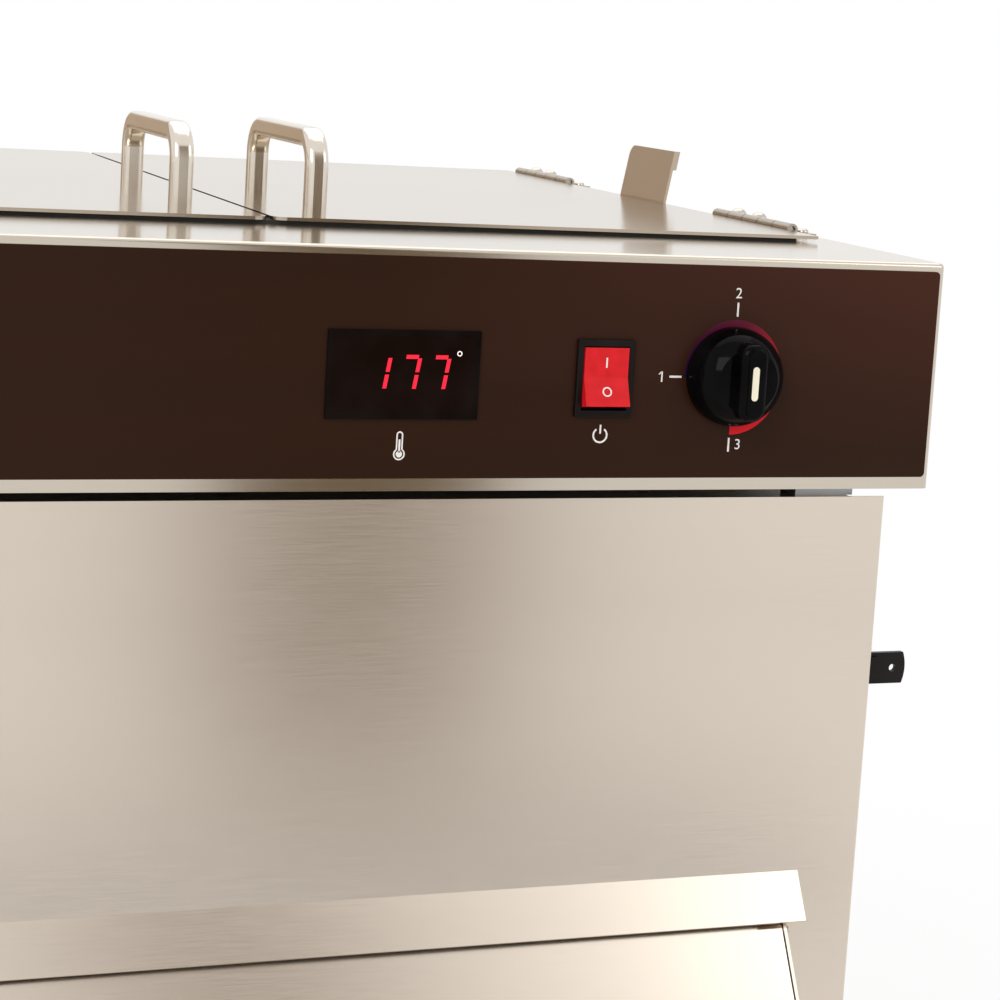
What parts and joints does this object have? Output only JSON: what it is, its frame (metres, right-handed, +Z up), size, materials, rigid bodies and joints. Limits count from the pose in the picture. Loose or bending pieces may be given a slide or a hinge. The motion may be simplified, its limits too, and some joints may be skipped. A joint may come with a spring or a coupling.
{
  "type": "chip warmer",
  "caption": "Counter-top chip warmer: top-loaded heated hopper with two butterfly lids, control head, and a sloping lift-up serving door over a front trough.",
  "frame": {"origin": "on the floor, under the middle of the whole outline", "axes": "+X to the right seen from the front, +Y to the back, +Z up"},
  "size_m": [0.5668, 0.7156, 0.74],
  "materials": {
    "stainless_sheet": "brushed, warm grey",
    "hopper_sheet": "mill finish",
    "zinced_sheet": "zinc coated",
    "polished_steel": "polished",
    "hinge_steel": "satin",
    "screw_steel": "satin",
    "black_rubber": "matt",
    "overlay_film": "satin film",
    "display_plastic": "gloss",
    "display_lens": "gloss, smoked",
    "switch_plastic": "satin",
    "rocker_red": "gloss",
    "knob_plastic": "gloss",
    "pointer_white": "satin",
    "shaft_steel": "ground",
    "thermostat_moulding": "matt",
    "sensor_copper": "drawn",
    "bracket_plastic": "satin",
    "gland_plastic": "satin",
    "fibre_slab": "fibrous",
    "wheel_aluminium": "pressed",
    "motor_paint": "satin",
    "heater_sheath": "heat darkened",
    "terminal_plastic": "matt"
  },
  "bodies": {
    "cabinet": {"head_shell": "stainless_sheet", "front_panel": "stainless_sheet", "side_panel_left": "stainless_sheet", "side_panel_right": "stainless_sheet", "rear_panel": "stainless_sheet", "awning_lip": "stainless_sheet", "chute_cheek_left": "stainless_sheet", "chute_cheek_right": "stainless_sheet", "serving_tray": "stainless_sheet", "hopper_side_left": "hopper_sheet", "hopper_side_right": "hopper_sheet", "hopper_front_baffle": "hopper_sheet", "hopper_rear_wall": "hopper_sheet", "hopper_floor": "hopper_sheet", "control_partition": "zinced_sheet", "head_spacers": "zinced_sheet", "base_pan": "zinced_sheet", "blower_scroll": "zinced_sheet", "motor_cradle": "zinced_sheet", "heater_strips": "zinced_sheet", "hinge_deck_leaves": "hinge_steel", "hinge_pins": "hinge_steel", "door_pins": "hinge_steel", "deck_hinge_screws": "screw_steel", "foot_bolts": "screw_steel", "lid_gasket": "black_rubber", "feet": "black_rubber", "control_overlay": "overlay_film", "display_case": "display_plastic", "display_window": "display_lens", "rocker_frame": "switch_plastic", "thermostat_body": "thermostat_moulding", "sensing_bulb": "sensor_copper", "side_bracket": "bracket_plastic", "cord_gland": "gland_plastic", "insulation": "fibre_slab", "blower_motor": "motor_paint", "heater_element": "heater_sheath", "terminal_block": "terminal_plastic"},
    "lid_left": {"lid_panel_left": "stainless_sheet", "lid_inner_pan_left": "hopper_sheet", "lid_handle_left": "polished_steel", "lid_rest_tab_left": "stainless_sheet", "hinge_lid_leaves_left": "hinge_steel"},
    "lid_right": {"lid_panel_right": "stainless_sheet", "lid_inner_pan_right": "hopper_sheet", "lid_handle_right": "polished_steel", "lid_rest_tab_right": "stainless_sheet", "hinge_lid_leaves_right": "hinge_steel"},
    "door": {"serving_door": "stainless_sheet", "door_handle": "polished_steel"},
    "rocker": {"rocker_paddle": "rocker_red"},
    "knob": {"thermostat_knob": "knob_plastic", "knob_pointer": "pointer_white", "thermostat_shaft": "shaft_steel"},
    "blower": {"blower_wheel": "wheel_aluminium", "blower_shaft": "shaft_steel"}
  },
  "joints": [
    {"name": "lid_left_hinge", "type": "hinge", "parent": "cabinet", "child": "lid_left", "pos_m": [-0.26942, 0.0918, 0.703], "axis": [0, -1, 0], "range_deg": [0, 105]},
    {"name": "lid_right_hinge", "type": "hinge", "parent": "cabinet", "child": "lid_right", "pos_m": [0.26258, 0.0918, 0.703], "axis": [0, 1, 0], "range_deg": [0, 105]},
    {"name": "door_hinge", "type": "hinge", "parent": "cabinet", "child": "door", "pos_m": [-0.00342, -0.216, 0.39897], "axis": [-1, 0, 0], "range_deg": [0, 72]},
    {"name": "rocker_tilt", "type": "hinge", "parent": "cabinet", "child": "rocker", "pos_m": [0.11808, -0.21855, 0.6478], "axis": [1, 0, 0], "range_deg": [0, 22]},
    {"name": "knob_turn", "type": "hinge", "parent": "cabinet", "child": "knob", "pos_m": [0.17658, -0.2182, 0.6494], "axis": [0, -1, 0], "range_deg": [0, 270]},
    {"name": "blower_spin", "type": "hinge", "parent": "cabinet", "child": "blower", "pos_m": [-0.00342, 0.2168, 0.136], "axis": [1, 0, 0], "continuous": true}
  ]
}
